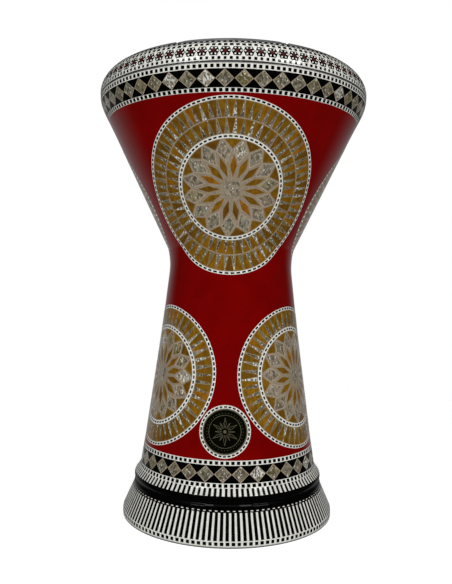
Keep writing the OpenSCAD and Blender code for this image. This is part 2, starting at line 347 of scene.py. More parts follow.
def grid_solid(solids, place, turns, levels, lift, depth):
    """A closed ring-shaped slab over a grid of turns and levels; its last column joins its first."""
    columns, rows = len(turns), len(levels)
    turn_grid, level_grid = np.meshgrid(turns, levels, indexing="ij")
    flat = np.stack([turn_grid.ravel(), level_grid.ravel()], -1)
    top, normals = place(flat, lift)
    base, _ = place(flat, lift - depth)
    points = np.concatenate([top, base])
    below = len(top)
    faces, smooth = [], []

    def at(i, j):
        return (i % columns) * rows + j

    for i in range(columns):
        for j in range(rows - 1):
            a, b, c, d = at(i, j), at(i + 1, j), at(i + 1, j + 1), at(i, j + 1)
            faces.append([a, b, c, d])
            smooth.append(normals[[a, b, c, d]])
            faces.append([below + d, below + c, below + b, below + a])
            smooth.append(-normals[[d, c, b, a]])
        for j, flip in ((0, False), (rows - 1, True)):
            a, b = at(i, j), at(i + 1, j)
            side = [below + a, below + b, b, a]
            faces.append(side[::-1] if flip else side)
            smooth.append(None)
    solids.add(points, faces, smooth)


def skin_steps(skin, low, high):
    """Runs from low to high, close together where the outline bends."""
    count = max(2, math.ceil((high - low) / STEP)) + 1
    runs = np.linspace(low, high, count)
    facing = np.unwrap(np.arctan2(skin.up, skin.out))
    inside = (skin.run > low) & (skin.run < high)
    bend = np.concatenate([[0], np.cumsum(np.abs(np.diff(facing[inside])))])
    extra = np.interp(np.arange(BEND_STEP, bend[-1], BEND_STEP), bend, skin.run[inside])
    runs = np.sort(np.concatenate([runs, extra]))
    keep = np.concatenate([[True], np.diff(runs) > SHORTEST_STEP])
    runs = runs[keep]
    runs[-1] = high
    return runs


def ring_solid(solids, skin, low, high):
    """A closed band round the drum between two runs, flush with the skin."""
    turns = np.linspace(0, 2 * math.pi, BELT_SEGMENTS, endpoint=False)

    def place(flat, height):
        return skin.place(flat[:, 0], flat[:, 1], height)

    grid_solid(solids, place, turns, skin_steps(skin, low, high), 0.0, INLAY_DEPTH)


def annulus(solids, medallion, inner, outer, lift, depth=INLAY_DEPTH):
    """A closed flat ring laid on the skin."""
    turns = np.linspace(0, 2 * math.pi, RING_SEGMENTS, endpoint=False)
    radii = np.linspace(inner, outer, max(2, math.ceil((outer - inner) / STEP) + 1))

    def place(flat, height):
        xy = np.stack([flat[:, 1] * np.sin(flat[:, 0]), flat[:, 1] * np.cos(flat[:, 0])], -1)
        return medallion.place(xy, height)

    grid_solid(solids, place, turns, radii, lift, depth)


def polar(radius, angle):
    """Flat point of a medallion; the angle runs clockwise from the top."""
    return (radius * math.sin(angle), radius * math.cos(angle))


def disc(radius):
    """The outline of a flat disc, anticlockwise."""
    return [polar(radius, -2 * math.pi * k / DISC_SEGMENTS) for k in range(DISC_SEGMENTS)]


def either_way(rng, most):
    """A random amount from -most to most."""
    return rng.uniform(-most, most)


def jittered(rng, corners, most):
    """Corners moved a little, as those of hand-cut tiles are."""
    return [(x + either_way(rng, most), y + either_way(rng, most)) for x, y in corners]


# -------------------- materials

class Shader:
    """A Principled material with short ways to add and join nodes."""

    def __init__(self, name):
        self.material = bpy.data.materials.new(name)
        self.material.use_nodes = True
        self.tree = self.material.node_tree
        self.surface = self.tree.nodes["Principled BSDF"]

    def node(self, kind, inputs=None, **settings):
        """Adds a node, sets its properties and feeds its inputs."""
        made = self.tree.nodes.new(kind)
        for key, value in settings.items():
            setattr(made, key, value)
        for key, value in (inputs or {}).items():
            self.feed(made.inputs[key], value)
        return made

    def feed(self, socket, value):
        """Links an output into the socket, or sets the socket to a plain value."""
        if isinstance(value, bpy.types.NodeSocket):
            self.tree.links.new(value, socket)
        else:
            socket.default_value = value

    def look(self, **inputs):
        """Feeds the Principled surface; a name's underscores stand for spaces."""
        for key, value in inputs.items():
            self.feed(self.surface.inputs[key.replace("_", " ")], value)

    def place(self, squeeze=(1, 1, 1)):
        """The point on the object; a squeeze below 1 stretches a pattern along that axis."""
        coords = self.node("ShaderNodeTexCoord").outputs["Object"]
        scaled = self.node("ShaderNodeMapping", {"Vector": coords, "Scale": squeeze})
        return scaled.outputs["Vector"]

    def noise(self, size_mm, detail, squeeze=(1, 1, 1)):
        """Soft noise whose blotches measure about size_mm."""
        made = self.node("ShaderNodeTexNoise", {
            "Vector": self.place(squeeze), "Scale": 1000 / size_mm, "Detail": detail,
        })
        return made.outputs["Fac"]

    def cells(self, size_mm, squeeze=(1, 1, 1)):
        """Flakes of about size_mm, each a random colour."""
        made = self.node("ShaderNodeTexVoronoi", {
            "Vector": self.place(squeeze), "Scale": 1000 / size_mm,
        })
        return made.outputs["Color"]

    def each_tile(self):
        """A random number from 0 to 1 for every tile of a piece."""
        return self.node("ShaderNodeNewGeometry").outputs["Random Per Island"]

    def maths(self, operation, a, b=0.0):
        """One sum of two numbers or outputs."""
        made = self.node("ShaderNodeMath", operation=operation)
        self.feed(made.inputs[0], a)
        self.feed(made.inputs[1], b)
        return made.outputs[0]

    def ramp(self, factor, stops):
        """A colour for a factor; stops are (position, colour)."""
        made = self.node("ShaderNodeValToRGB", {"Fac": factor})
        elements = made.color_ramp.elements
        while len(elements) < len(stops):
            elements.new(0.5)
        for element, (position, colour) in zip(elements, stops):
            element.position = position
            element.color = (*colour, 1)
        return made.outputs["Color"]

    def mix(self, factor, a, b, blend="MIX"):
        """Two colours mixed by a factor."""
        made = self.node("ShaderNodeMix", data_type="RGBA", blend_type=blend)
        for name, value in (("Factor", factor), ("A", a), ("B", b)):
            wanted = "VALUE" if name == "Factor" else "RGBA"
            socket = next(s for s in made.inputs if s.name == name and s.type == wanted)
            self.feed(socket, (*value, 1) if isinstance(value, tuple) else value)
        return next(s for s in made.outputs if s.type == "RGBA")

    def bump(self, height, strength, distance_mm):
        """A normal roughened by a height."""
        made = self.node("ShaderNodeBump", {
            "Height": height, "Strength": strength, "Distance": distance_mm * MM,
        })
        return made.outputs["Normal"]

    def tilted(self, tilt, amount):
        """The surface normal leaned by a random colour, so that each flake faces its own way.
        Seen along the surface, the lean fades out."""
        level = self.node("ShaderNodeLayerWeight", {"Blend": 0.5}).outputs["Facing"]
        amount = self.maths("MULTIPLY", self.maths("SUBTRACT", 1.0, level), amount)
        centred = self.node("ShaderNodeVectorMath", operation="SUBTRACT")
        self.feed(centred.inputs[0], tilt)
        centred.inputs[1].default_value = (0.5, 0.5, 0.5)
        scaled = self.node("ShaderNodeVectorMath", {"Scale": amount}, operation="SCALE")
        self.feed(scaled.inputs[0], centred.outputs[0])
        facing = self.node("ShaderNodeNewGeometry").outputs["Normal"]
        leaned = self.node("ShaderNodeVectorMath", operation="ADD")
        self.feed(leaned.inputs[0], facing)
        self.feed(leaned.inputs[1], scaled.outputs[0])
        made = self.node("ShaderNodeVectorMath", operation="NORMALIZE")
        self.feed(made.inputs[0], leaned.outputs[0])
        return made.outputs[0]

    def lacquered(self, weight, roughness):
        """A clear coat with a faint orange-peel wave."""
        wave = self.bump(self.noise(9, 1), 0.05, 0.05)
        self.look(Coat_Weight=weight, Coat_Roughness=roughness, Coat_IOR=1.5, Coat_Normal=wave)


def ivory():
    """Off-white celluloid strip with faint grain, every piece a shade of its own."""
    made = Shader("ivory_strip")
    grain = made.noise(1.2, 4, (1, 1, 0.15))
    base = made.ramp(grain, [(0.3, (0.70, 0.695, 0.64)), (0.7, (0.84, 0.84, 0.79))])
    shade = made.ramp(made.each_tile(), [(0, (0.90, 0.90, 0.88)), (1, (1, 1, 1))])
    made.look(Base_Color=made.mix(1.0, base, shade, "MULTIPLY"), Roughness=0.35)
    made.lacquered(0.9, 0.06)
    return made.material


def black():
    """Black lacquer with fine wiping marks under the gloss."""
    made = Shader("black_lacquer")
    marks = made.noise(3, 5, (1, 1, 0.4))
    base = made.ramp(marks, [(0.35, (0.0003, 0.0003, 0.0003)), (0.8, (0.0014, 0.0014, 0.0015))])
    made.look(Base_Color=base, Roughness=0.4, Specular_IOR_Level=0.0)
    made.lacquered(0.6, 0.04)
    return made.material


def red():
    """Deep red lacquer: cloudy pigment with fine dark flecks under a clear coat."""
    made = Shader("red_lacquer")
    cloud = made.noise(22, 3)
    fleck = made.noise(0.5, 2)
    base = made.ramp(cloud, [(0.3, (0.150, 0.0, 0.0)), (0.75, (0.190, 0.0, 0.0))])
    dark = made.ramp(fleck, [(0.35, (0.86, 0.8, 0.8)), (0.5, (1, 1, 1))])
    made.look(Base_Color=made.mix(1.0, base, dark, "MULTIPLY"), Roughness=0.5, Specular_IOR_Level=0.0)
    made.lacquered(1.0, 0.03)
    return made.material


def nacre(name, low, high, flake_mm, shine, tilt, painted_glints):
    """Shell-like inlay: small flakes that each face their own way under a clear coat.
    The last argument, from 0 to 1, is how much painted glint it has: nearly white specks put into the
    colour in place of flakes catching the light; a few tiles have more."""
    made = Shader(name)
    flakes = made.cells(flake_mm, squeeze=(1, 1, 0.5))
    tone = made.node("ShaderNodeSeparateColor", {"Color": flakes}).outputs[0]
    streak = made.noise(1.9, 4, (1, 1, 0.4))
    value = made.maths("MULTIPLY", tone, 0.5)
    value = made.maths("ADD", value, made.maths("MULTIPLY", streak, 0.55))
    base = made.ramp(value, [(0.25, low), (0.78, high)])
    tint = made.ramp(made.noise(2.8, 2), [
        (0.30, (0.93, 1.0, 0.90)), (0.45, (1.0, 0.98, 0.92)), (0.60, (1.0, 0.92, 0.93)),
        (0.72, (0.92, 0.98, 1.0)),
    ])
    shade = made.ramp(made.each_tile(), [
        (0.05, (0.80, 0.72, 0.45)), (0.25, (0.90, 0.92, 0.90)), (0.45, (0.95, 0.84, 0.80)),
        (0.65, (1.0, 1.0, 1.0)), (0.80, (0.85, 0.80, 0.60)), (1, (1.25, 1.25, 1.23)),
    ])
    colour = made.mix(1.0, base, tint, "MULTIPLY")
    if painted_glints > 0:
        colour = made.mix(1.0, colour, shade, "MULTIPLY")
        # Painted glints: nearly white specks mixed into the colour, painted highlights of flakes
        # catching the lamps; a few tiles get more of them.
        glint_rich_tiles = made.ramp(made.each_tile(), [(0.84, (0, 0, 0)), (0.87, (0.09, 0.09, 0.09))])
        painted_glint_level = made.maths("ADD", made.noise(1.4, 4, (1, 1, 0.6)), glint_rich_tiles)
        painted_glint_threshold = 0.69 - 0.1 * painted_glints
        painted_glint_mask = made.ramp(painted_glint_level, [(painted_glint_threshold, (0, 0, 0)), (painted_glint_threshold + 0.05, (1, 1, 1))])
        colour = made.mix(painted_glint_mask, colour, (0.90, 0.91, 0.88))
    made.look(Base_Color=colour, Metallic=shine, Roughness=0.25, Normal=made.tilted(flakes, tilt))
    made.lacquered(1.0, 0.03)
    return made.material


def amber():
    """Amber celluloid: honey to orange, with soft lengthwise clouds and a faint silk."""
    made = Shader("amber_tile")
    cloud = made.noise(3.5, 3, (1, 1, 0.5))
    base = made.ramp(cloud, [
        (0.25, (0.145, 0.060, 0.001)), (0.5, (0.228, 0.103, 0.001)), (0.8, (0.33, 0.162, 0.003)),
    ])
    shade = made.ramp(made.each_tile(), [
        (0, (0.70, 0.66, 0.6)), (0.4, (0.95, 0.98, 1.0)), (0.85, (1.15, 1.18, 1.0)),
        (1, (1.40, 1.15, 0.6)),
    ])
    flakes = made.cells(1.1, squeeze=(1, 1, 0.5))
    made.look(
        Base_Color=made.mix(1.0, base, shade, "MULTIPLY"), Metallic=0.25, Roughness=0.35,
        Specular_IOR_Level=0.25, Normal=made.tilted(flakes, 0.22),
    )
    made.lacquered(1.0, 0.04)
    return made.material


def rosette_red():
    """Dark red-brown resin of the rosette hearts."""
    made = Shader("rosette_red")
    base = made.ramp(made.noise(0.8, 3), [(0.3, (0.035, 0.007, 0.005)), (0.7, (0.075, 0.013, 0.010))])
    made.look(Base_Color=base, Roughness=0.4, Specular_IOR_Level=0.0)
    made.lacquered(0.5, 0.05)
    return made.material


def metal(name, colour, roughness, grain_mm, squeeze, scratches, purity, dullest=0.72):
    """Bare metal with tool marks and a little tarnish. scratches is how much the marks vary the
    roughness, purity how metallic it is, and dullest how dark the tarnish gets."""
    made = Shader(name)
    marks = made.noise(grain_mm, 6, squeeze)
    tarnish = made.noise(14, 4)
    dark = tuple(dullest * c for c in colour)
    base = made.mix(made.ramp(tarnish, [(0.35, (0, 0, 0)), (0.7, (1, 1, 1))]), dark, colour)
    rough = made.maths("ADD", made.maths("MULTIPLY", marks, scratches), roughness - scratches / 2)
    made.look(Base_Color=base, Metallic=purity, Roughness=rough, Normal=made.bump(marks, 0.25, 0.03))
    return made.material


def film():
    """Smooth white drum film, a little cloudy, with a fine satin tooth."""
    made = Shader("film")
    base = made.ramp(made.noise(35, 3), [(0.3, (0.74, 0.74, 0.72)), (0.7, (0.80, 0.80, 0.785))])
    tooth = made.bump(made.noise(0.35, 2), 0.12, 0.02)
    made.look(
        Base_Color=base, Roughness=0.38, Normal=tooth, Subsurface_Weight=0.15,
        Subsurface_Radius=(0.003, 0.003, 0.003), Coat_Weight=0.2, Coat_Roughness=0.25,
    )
    return made.material


def enamel():
    """Olive-black badge enamel, slightly wavy."""
    made = Shader("badge_enamel")
    base = made.ramp(made.noise(5, 4), [(0.3, (0.0008, 0.0008, 0.0002)), (0.75, (0.004, 0.0038, 0.001))])
    made.look(Base_Color=base, Roughness=0.4, Specular_IOR_Level=0.0)
    made.lacquered(0.5, 0.05)
    return made.material


IVORY = ivory()
BLACK = black()
RED = red()
AMBER = amber()
PEARL = nacre("pearl", (0.095, 0.083, 0.052), (0.355, 0.33, 0.235), 1.7, 0.25, 0.9, 0.8)
STAR_PEARL = nacre("star_pearl", (0.15, 0.132, 0.096), (0.47, 0.425, 0.325), 1.8, 0.25, 0.8, 0.68)
FILLER = nacre("pearl_filler", (0.265, 0.218, 0.152), (0.385, 0.318, 0.225), 0.6, 0.1, 0.2, 0.0)
EDGING = nacre("pearl_edging", (0.36, 0.30, 0.22), (0.48, 0.40, 0.31), 0.6, 0.1, 0.2, 0.0)
ROSETTE_RED = rosette_red()
CAST = metal("cast_metal", (0.50, 0.50, 0.50), 0.42, 0.9, (1, 1, 1), 0.25, 0.7)
MACHINED = metal("machined_metal", (0.60, 0.61, 0.62), 0.28, 0.35, (0.08, 0.08, 1), 0.2, 0.75, 0.5)
HOOP = metal("hoop_metal", (0.70, 0.70, 0.71), 0.3, 0.4, (0.05, 0.05, 1), 0.2, 0.75)
STEEL = metal("bolt_steel", (0.40, 0.40, 0.41), 0.32, 0.3, (1, 1, 0.1), 0.2, 0.8)
BRASS = metal("badge_brass", (0.25, 0.23, 0.14), 0.35, 0.5, (1, 1, 1), 0.15, 0.6)
FILM = film()
ENAMEL = enamel()


# -------------------- bands

# A dot is at most this share of the row's pitch, and slips this far along and across its row.
DOT_SHARE = 0.59
SLIP_ALONG = 0.1 * MM
SLIP_ACROSS = 0.06 * MM

# What a tall tile leaves free at either edge of its band.
MARGIN = 0.1 * MM


def bed(name, skin, node, material, body, slot):
    """A plain inlay band in place of a CAD band."""
    solids = Solids()
    low, high = span(node)
    ring_solid(solids, skin, skin.run_at(low), skin.run_at(high))
    return solids.piece(name, material, body, slot, node)


def dotted_strip(skin, node, count, body, phase, fill=0.66):
    """An ivory strip with a row of square black dots, each at most fill of its height."""
    bed(node + "_bed", skin, node, IVORY, body, "ivory_strip")
    belt = Belt(skin, node, count, phase)
    rng = random.Random(node)
    side = min(DOT_SHARE * belt.pitch, fill * belt.height)
    dots = Solids()
    for x in belt.centres():
        wide = side * rng.uniform(0.92, 1.08)
        box_tile(dots, belt, x + either_way(rng, SLIP_ALONG), either_way(rng, SLIP_ACROSS), wide, side)
    dots.piece(node + "_dots", BLACK, body, "black_lacquer")


def stave_band(skin, node, count, body, phase, share):
    """Upright ivory staves on black, each about share of the pitch wide."""
    bed(node + "_bed", skin, node, BLACK, body, "black_lacquer")
    belt = Belt(skin, node, count, phase)
    rng = random.Random(node)
    staves = Solids()
    for x in belt.centres():
        wide = belt.pitch * share * rng.uniform(0.93, 1.05)
        lean = either_way(rng, SLIP_ACROSS)
        box_tile(staves, belt, x, 0, wide, belt.height - MARGIN, lean=lean)
    staves.piece(node + "_staves", IVORY, body, "ivory_strip")


def dash_band(skin, node, count, body, phase, share, high):
    """Short ivory dashes on black, share of the pitch wide."""
    bed(node + "_bed", skin, node, BLACK, body, "black_lacquer")
    belt = Belt(skin, node, count, phase)
    dashes = Solids()
    for x in belt.centres():
        box_tile(dashes, belt, x, 0, belt.pitch * share, high)
    dashes.piece(node + "_dashes", IVORY, body, "ivory_strip")


def diamond_band(skin, node, count, phase):
    """Pearl diamonds tip to tip on black, each in a thin pale edging."""
    bed(node + "_bed", skin, node, BLACK, "shell", "black_lacquer")
    belt = Belt(skin, node, count, phase)
    rng = random.Random(node)
    edgings, pearls = Solids(), Solids()
    w, h = belt.pitch / 2, belt.height / 2 - MARGIN
    inset = 0.9
    rough = 0.12 * MM
    for x in belt.centres():
        corners = [(x, -h), (x + w, 0), (x, h), (x - w, 0)]
        tile(edgings, belt, corners, DOT_LIFT)
        corners = [(x, -h * inset), (x + w * inset, 0), (x, h * inset), (x - w * inset, 0)]
        tile(pearls, belt, jittered(rng, corners, rough), 2 * DOT_LIFT)
    edgings.piece(node + "_edgings", EDGING, "shell", "pearl")
    pearls.piece(node + "_diamonds", PEARL, "shell", "pearl")


def rosette_band(skin, node, count, phase):
    """Six-pointed rosettes: a red heart and white darts on a black hexagon."""
    bed(node + "_bed", skin, node, IVORY, "tension_ring", "ivory_strip")
    belt = Belt(skin, node, count, phase)
    high = belt.height / 2 - MARGIN
    wide = belt.pitch / 2 - 0.02 * MM
    flat = 0.62 * wide
    heart = 0.44 * high
    hexagon = [(-wide, 0), (-flat, -high), (flat, -high), (wide, 0), (flat, high), (-flat, high)]
    turns = np.arange(6, 0, -1) * 60 * DEG
    hexagons, darts, hearts = Solids(), Solids(), Solids()
    for x in belt.centres():
        tile(hexagons, belt, [(x + cx, cy) for cx, cy in hexagon], DOT_LIFT)
        for k in range(6):
            corners = dart((60 * k + 30) * DEG, wide)
            tile(darts, belt, [(x + cx, cy) for cx, cy in corners], 2 * DOT_LIFT, bevel=FINE_BEVEL)
        corners = [(x + heart * math.sin(a), heart * math.cos(a)) for a in turns]
        tile(hearts, belt, corners, 2 * DOT_LIFT, bevel=FINE_BEVEL)
    hexagons.piece(node + "_hexagons", BLACK, "tension_ring", "black_lacquer")
    darts.piece(node + "_darts", IVORY, "tension_ring", "ivory_strip")
    hearts.piece(node + "_hearts", ROSETTE_RED, "tension_ring", "rosette_inlay")


def dart(turn, reach):
    """A slim kite that points away from a rosette's centre; reach is the rosette's half width."""
    along = np.array([math.sin(turn), math.cos(turn)]) * reach
    across = np.array([math.cos(turn), -math.sin(turn)]) * reach
    root, side, tip = 0.44 * along, 0.66 * along, 0.92 * along
    half = 0.17 * across
    return [root, side + half, tip, side - half]


# -------------------- medallions

# Dashed rims: a dash's pitch, and the share of it that is black.
DASH_PITCH = 4.8 * MM
DASH_SHARE = 0.64

# The gap that the filler shows in between wedges.
WEDGE_GAP = 0.35 * MM

# A star is drawn on a disc of STAR_UNITS, and its sizes are in those units. Hand-laid: it is turned
# by ASKEW, its heart sits OFF_CENTRE to the right, and its tiles' corners are rough.
STAR_POINTS = 15
STAR_UNITS = 45.8
ASKEW = 2.7 * DEG
OFF_CENTRE = 1.5 * MM
STAR_ROUGH = 0.2 * MM
HEART_ROUGH = 0.3 * MM


def sector(low, top, angle, foot, head):
    """A tile between two radii; foot and head are its half widths at low and top, in radians."""
    return [
        polar(low, angle - foot), polar(low, angle + foot),
        polar(top, angle + head), polar(top, angle - head),
    ]


def dashed_circle(beds, dashes, medallion, inner, outer, count, high):
    """An ivory ring with black dashes along it."""
    annulus(beds, medallion, inner, outer, BED_TOP)
    middle = (inner + outer) / 2
    half = math.pi * DASH_SHARE / count
    for k in range(count):
        corners = sector(middle - high / 2, middle + high / 2, 2 * math.pi * k / count, half, half)
        tile(dashes, medallion, corners, TILE_TOP, bevel=DASH_BEVEL)


def wedge_row(ambers, pearls, medallion, inner, outer, count, rng, phase):
    """Amber tiles that widen outwards between pearl slivers that narrow outwards."""
    low, top = inner + WEDGE_GAP, outer - WEDGE_GAP
    pitch = 2 * math.pi / count
    thin = WEDGE_GAP / outer
    for k in range(count):
        a = pitch * (k + phase + either_way(rng, 0.04))
        foot = pitch * rng.uniform(0.12, 0.19)
        tile(ambers, medallion, sector(low, top, a, foot, pitch / 2 - thin), TILE_TOP)
        b = a + pitch / 2
        foot = pitch * 0.34 - thin
        tile(pearls, medallion, sector(low, top, b, foot, pitch * 0.03), TILE_TOP)


def star(ambers, pearls, edgings, medallion, radius, rng):
    """Pearl diamonds in pale edgings, amber petals and rim tiles between them, and a square heart."""
    unit = radius / STAR_UNITS
    pitch = 2 * math.pi / STAR_POINTS
    for k in range(STAR_POINTS):
        a = pitch * (k + 0.5) + ASKEW
        corners = star_diamond(radius, a, 23.8, 7.2, 0.5 * MM)
        tile(edgings, medallion, jittered(rng, corners, STAR_ROUGH), BED_TOP + 0.02 * MM)
        corners = star_diamond(radius, a, 25.6, 6.1, 1.0 * MM)
        tile(pearls, medallion, jittered(rng, corners, STAR_ROUGH), TILE_TOP)
        a = pitch * k + ASKEW
        corners = star_petal(unit, a)
        tile(ambers, medallion, jittered(rng, corners, STAR_ROUGH), TILE_TOP)
        arc = [polar(radius - 0.5 * MM, a + 0.40 * pitch * t) for t in (1.0, 0.5, 0.0, -0.5, -1.0)]
        tile(ambers, medallion, [polar(37.0 * unit, a)] + arc, TILE_TOP)
    side = 6.6 * unit
    heart = [(-side, -side), (side, -side), (side, side), (-side, side)]
    heart = [(OFF_CENTRE + x, y) for x, y in heart]
    tile(pearls, medallion, jittered(rng, heart, HEART_ROUGH), TILE_TOP)


def star_diamond(radius, angle, near, wide, gap):
    """A diamond from near to a gap short of the rim; near and the half width wide are in units."""
    unit = radius / STAR_UNITS
    shoulder = 36.0
    half = wide / shoulder
    x, y = polar(near * unit, angle)
    return [
        (x + 0.6 * OFF_CENTRE, y), polar(shoulder * unit, angle + half), polar(radius - gap, angle),
        polar(shoulder * unit, angle - half),
    ]


def star_petal(unit, angle):
    """A slim amber petal that points away from the heart."""
    near, shoulder, far = 10.8, 21.5, 31.4
    half = 3.1 / shoulder
    corners = [
        polar(near * unit, angle), polar(shoulder * unit, angle + half), polar(far * unit, angle),
        polar(shoulder * unit, angle - half),
    ]
    return [(x + OFF_CENTRE, y) for x, y in corners]


def laid_middle(skin, node):
    """Height of a laid disc's centre, half way along the skin between its lowest and highest z."""
    low, high = span(node)
    run = (skin.run_at(low) + skin.run_at(high)) / 2
    return float(np.interp(run, skin.run, skin.z))


def laid_radius(skin, node):
    """Radius of a laid disc, measured along the skin."""
    low, high = span(node)
    return (skin.run_at(high) - skin.run_at(low)) / 2


def medallions(kind, turns, rows):
    """All medallions of one kind, centred at turns, in degrees from the front. rows lists, from the
    rim inwards, each wedge ring's node and its tile count."""
    rim = laid_radius(shell_skin, kind + "_rims")
    star_rim = laid_radius(shell_skin, kind + "_star_rims")
    star_edge = laid_radius(shell_skin, kind + "_stars")
    outers = [laid_radius(shell_skin, node) for node, _ in rows]
    inners = outers[1:] + [star_rim]
    centre_z = laid_middle(shell_skin, kind + "_rims")
    rim_count = round(2 * math.pi * rim / DASH_PITCH)
    star_rim_count = round(2 * math.pi * star_rim / DASH_PITCH)
    rims, rim_dashes, star_rims, star_dashes = Solids(), Solids(), Solids(), Solids()
    star_beds, star_ambers, star_pearls, star_edgings = Solids(), Solids(), Solids(), Solids()
    wedges = [(Solids(), Solids(), Solids()) for _ in rows]
    for number, turn in enumerate(turns):
        rng = random.Random(f"{kind} {number}")
        medallion = Medallion(shell_skin, centre_z, turn * DEG)
        dashed_circle(rims, rim_dashes, medallion, outers[0], rim, rim_count, 1.6 * MM)
        for (beds, ambers, pearls), (_, tiles), inner, outer in zip(wedges, rows, inners, outers):
            annulus(beds, medallion, inner, outer, BED_TOP)
            wedge_row(ambers, pearls, medallion, inner, outer, tiles, rng, 0.25 * number)
        dashed_circle(star_rims, star_dashes, medallion, star_edge, star_rim, star_rim_count, 1.55 * MM)
        tile(star_beds, medallion, disc(star_edge), BED_TOP, INLAY_DEPTH, DISC_BEVEL)
        star(star_ambers, star_pearls, star_edgings, medallion, star_edge, rng)
    rims.piece(kind + "_rim_strips", IVORY, "shell", "ivory_strip", kind + "_rims")
    rim_dashes.piece(kind + "_rim_dashes", BLACK, "shell", "black_lacquer")
    for (beds, ambers, pearls), (node, _) in zip(wedges, rows):
        beds.piece(node + "_bed", FILLER, "shell", "pearl", node)
        ambers.piece(node + "_ambers", AMBER, "shell", "amber")
        pearls.piece(node + "_pearls", PEARL, "shell", "pearl")
    star_rims.piece(kind + "_star_strips", IVORY, "shell", "ivory_strip", kind + "_star_rims")
    star_dashes.piece(kind + "_star_dashes", BLACK, "shell", "black_lacquer")
    star_beds.piece(kind + "_star_beds", FILLER, "shell", "pearl", kind + "_stars")
    star_ambers.piece(kind + "_star_ambers", AMBER, "shell", "amber")
    star_edgings.piece(kind + "_star_edgings", EDGING, "shell", "pearl")
    star_pearls.piece(kind + "_star_pearls", STAR_PEARL, "shell", "pearl")


def badge(turn):
    """A dark enamel disc with a bright bevel and a plain rosette, in a dashed ivory ring."""
    low, high = span("badge_border_strip")
    low_disc, high_disc = span("badge_disc")
    medallion = Medallion(shell_skin, (low + high) / 2, turn * DEG)
    outer, inner = (high - low) / 2, (high_disc - low_disc) / 2
    strip, dashes = Solids(), Solids()
    dashed_circle(strip, dashes, medallion, inner, outer, 34, 1.5 * MM)
    strip.piece("badge_strip", IVORY, "shell", "ivory_strip", "badge_border_strip")
    dashes.piece("badge_strip_dashes", BLACK, "shell", "black_lacquer")
    enamel_disc, bevel, lines = Solids(), Solids(), Solids()
    face = 0.5 * MM
    line = face + 0.04 * MM
    tile(enamel_disc, medallion, disc(inner - 0.9 * MM), face, INLAY_DEPTH, DISC_BEVEL)
    annulus(bevel, medallion, inner - 1.1 * MM, inner - 0.05 * MM, face + 0.08 * MM)
    annulus(lines, medallion, 14.4 * MM, 14.85 * MM, line, LINE_DEPTH)
    for k in range(12):
        long, wide = (12.6, 0.16) if k % 2 == 0 else (9.0, 0.14)
        petal(lines, medallion, math.pi * k / 6, long * MM, wide, line)
    bead = 0.55 * MM
    for k in range(36):
        x, y = polar(16.4 * MM, math.pi * k / 18)
        box_tile(lines, medallion, x, y, bead, bead, line, LINE_DEPTH)
    heart = [polar(1.6 * MM, -math.pi * k / 4) for k in range(8)]
    tile(lines, medallion, heart, line, LINE_DEPTH, FINE_BEVEL)
    enamel_disc.piece("badge_enamel", ENAMEL, "shell", "badge_metal", "badge_disc")
    bevel.piece("badge_bevel", BRASS, "shell", "badge_metal")
    lines.piece("badge_rosette", BRASS, "shell", "badge_metal")


def petal(lines, medallion, angle, long, wide, lift):
    """The outline of a petal that reaches out to long, drawn in four strokes; wide is in radians."""
    shoulder = 0.55 * long
    corners = [
        polar(3.2 * MM, angle), polar(shoulder, angle + wide), polar(long, angle),
        polar(shoulder, angle - wide),
    ]
    for start, end in zip(corners, corners[1:] + corners[:1]):
        stroke(lines, medallion, start, end, 0.42 * MM, lift)


def stroke(solids, placer, start, end, width, lift):
    """A thin raised line between two flat points."""
    a, b = np.array(start), np.array(end)
    along = (b - a) / np.linalg.norm(b - a)
    side = np.array([along[1], -along[0]]) * width / 2
    tile(solids, placer, [a + side, b + side, b - side, a - side], lift, LINE_DEPTH, FINE_BEVEL)


# -------------------- the drum

# A band takes how many pieces it has and how far its pattern is turned, in pitches.
dotted_strip(shell_skin, "foot_border_strip", 129, "shell", -0.42)
stave_band(shell_skin, "foot_stave_band", 125, "shell", -0.03, 0.42)
dash_band(shell_skin, "foot_dash_line", 112, "shell", 0.53, 0.42, 0.75 * MM)
bed("neck_lacquer", shell_skin, "neck_band", BLACK, "shell", "black_lacquer")
stave_band(shell_skin, "bead_stave_band", 117, "shell", -0.35, 0.5)
dotted_strip(shell_skin, "collar_border_strip", 107, "shell", 0.05, 0.80)
diamond_band(shell_skin, "lower_diamond_band", 34, -0.16)
dotted_strip(shell_skin, "field_lower_border_strip", 107, "shell", 0.28)
bed("red_lacquer_field", shell_skin, "red_field", RED, "shell", "red_lacquer")
dotted_strip(shell_skin, "field_upper_border_strip", 155, "shell", 0.28, 0.85)
diamond_band(shell_skin, "upper_diamond_band", 51, -0.33)
dotted_strip(shell_skin, "shoulder_border_strip", 165, "shell", -0.19)
medallions("upper_medallion", (0, 117.5, 239), [
    ("upper_medallion_outer_wedges", 62), ("upper_medallion_inner_wedges", 48),
])
medallions("lower_medallion", (58.8, 179, 299.8), [("lower_medallion_wedges", 48)])
badge(-1)
dotted_strip(ring_skin, "ring_lower_border_strip", 166, "tension_ring", -0.04)
rosette_band(ring_skin, "ring_rosette_band", 85, 0.48)
dotted_strip(ring_skin, "ring_upper_border_strip", 162, "tension_ring", 0.0)
dash_band(ring_skin, "ring_edge_band", 161, "tension_ring", 0.30, 0.45, 1.15 * MM)

for node, material in (
    ("shell", CAST), ("tension_ring", MACHINED), ("head_hoop", HOOP), ("head_film", FILM),
):
    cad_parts[node].data.materials.clear()
    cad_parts[node].data.materials.append(material)
for number in range(1, 9):
    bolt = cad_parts[f"bolt_{number}"]
    bolt.data.materials.clear()
    bolt.data.materials.append(STEEL)


# -------------------- stage, light and camera

# The floor stays whole near the drum and has melted away at the far distance, in metres.
FLOOR_HALF = 12.0
MELT_NEAR = 0.3
MELT_FAR = 0.9

# How brightly the floor glows to the camera and how brightly it lights the drum.
FLOOR_SEEN = 0.68
FLOOR_BOUNCE = 0.35


